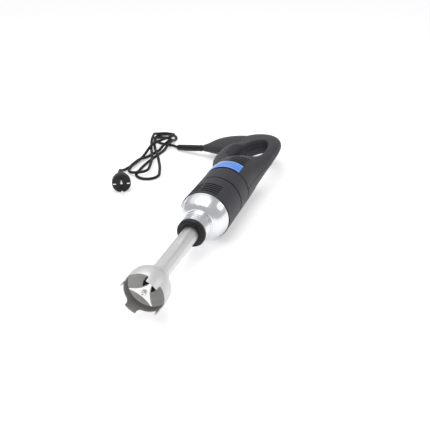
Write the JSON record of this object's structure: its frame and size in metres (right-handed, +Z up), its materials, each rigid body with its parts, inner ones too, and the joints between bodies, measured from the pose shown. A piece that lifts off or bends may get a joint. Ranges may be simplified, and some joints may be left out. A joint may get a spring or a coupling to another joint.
{
  "type": "immersion blender",
  "caption": "Heavy-duty immersion blender with a round motor body, closed loop handle, pull-off steel blending shaft with a domed blade guard, and a folded mains cord with a round plug.",
  "frame": {"origin": "on the surface it lies on, under the middle of the tool's own box, cord and plug left out", "axes": "+Z up, +Y along the tool axis from the blade guard towards the handle, -X to the side where the cord leaves"},
  "size_m": [0.3423, 0.6737, 0.0909],
  "materials": {
    "polished_aluminium": "turned and polished, with fine turning marks",
    "cast_aluminium": "as cast, matt",
    "stainless_steel": "satin stainless, brushed along the tube",
    "blade_steel": "ground and polished stainless",
    "shaft_steel": "ground steel",
    "housing_plastic": "charcoal moulded plastic, fine texture",
    "control_plastic": "black moulded plastic",
    "ring_plastic": "black moulded plastic, satin",
    "cord_rubber": "black rubber cord sheath, satin",
    "seal_rubber": "black rubber, matt",
    "label_blue": "plain blue printed film, no text",
    "plated_steel": "bright zinc plate",
    "lamination_steel": "stacked electrical steel, varnished",
    "copper": "enamelled copper",
    "bronze": "sintered bronze",
    "brass": "pressed brass",
    "carbon": "carbon, dull",
    "fan_nylon": "natural nylon",
    "circuit_board": "green lacquered board",
    "capacitor_case": "blue moulded case"
  },
  "bodies": {
    "root": {"nose_housing": "polished_aluminium", "bearing_bracket": "cast_aluminium", "heat_sink": "cast_aluminium", "trigger_spring": "shaft_steel", "motor_sleeve": "housing_plastic", "motor_band": "housing_plastic", "handle_shell_upper": "housing_plastic", "handle_shell_lower": "housing_plastic", "switch_body": "control_plastic", "cable_clamp": "control_plastic", "cord_guard": "cord_rubber", "supply_lead": "cord_rubber", "cord_lead": "cord_rubber", "cord_hank": "cord_rubber", "cord_tail": "cord_rubber", "plug_body": "cord_rubber", "label_plate": "label_blue", "housing_screw_1": "plated_steel", "housing_screw_2": "plated_steel", "housing_screw_3": "plated_steel", "housing_screw_4": "plated_steel", "housing_screw_5": "plated_steel", "housing_screw_6": "plated_steel", "housing_screw_7": "plated_steel", "clamp_screw_1": "plated_steel", "clamp_screw_2": "plated_steel", "front_bearing": "plated_steel", "rear_bearing": "plated_steel", "plug_pin_upper": "plated_steel", "plug_pin_lower": "plated_steel", "earth_clip_right": "plated_steel", "earth_clip_left": "plated_steel", "stator_core": "lamination_steel", "field_coil_right": "copper", "field_coil_left": "copper", "brush_holder_right": "brass", "brush_holder_left": "brass", "carbon_brush_right": "carbon", "carbon_brush_left": "carbon", "speed_board": "circuit_board", "suppression_capacitor": "capacitor_case"},
    "shaft_foot": {"shaft_tube": "stainless_steel", "bell_guard": "stainless_steel", "bell_seal": "seal_rubber", "lower_bush": "bronze", "upper_bush": "bronze"},
    "lock_ring": {"lock_ring": "ring_plastic"},
    "rotor": {"motor_shaft": "shaft_steel", "motor_coupling": "shaft_steel", "armature_core": "lamination_steel", "armature_winding_front": "copper", "armature_winding_rear": "copper", "commutator": "copper", "cooling_fan": "fan_nylon"},
    "drive": {"drive_shaft": "shaft_steel", "shaft_coupling": "shaft_steel", "blade": "blade_steel", "blade_screw": "blade_steel"},
    "trigger": {"trigger": "control_plastic"}
  },
  "joints": [
    {"name": "shaft_pull_off", "type": "slide", "parent": "root", "child": "shaft_foot", "axis": [0, -1, 0], "range_m": [0, 0.06]},
    {"name": "lock_ring_turn", "type": "hinge", "parent": "shaft_foot", "child": "lock_ring", "pos_m": [0.07552, -0.133, 0.045], "axis": [0, 1, 0], "range_deg": [0, 60]},
    {"name": "motor_spin", "type": "hinge", "parent": "root", "child": "rotor", "pos_m": [0.07552, -0.06, 0.045], "axis": [0, 1, 0], "continuous": true},
    {"name": "blade_spin", "type": "hinge", "parent": "shaft_foot", "child": "drive", "pos_m": [0.07552, -0.2, 0.045], "axis": [0, 1, 0], "continuous": true},
    {"name": "trigger_press", "type": "slide", "parent": "root", "child": "trigger", "axis": [-0.9824, 0, -0.1868], "range_m": [0, 0.0032], "stiffness_N_per_m": 400, "springref_m": -0.002, "deforming": ["trigger_spring"]}
  ],
  "couplings": [
    {"joint": "blade_spin", "follows": "motor_spin", "ratio": 1}
  ]
}
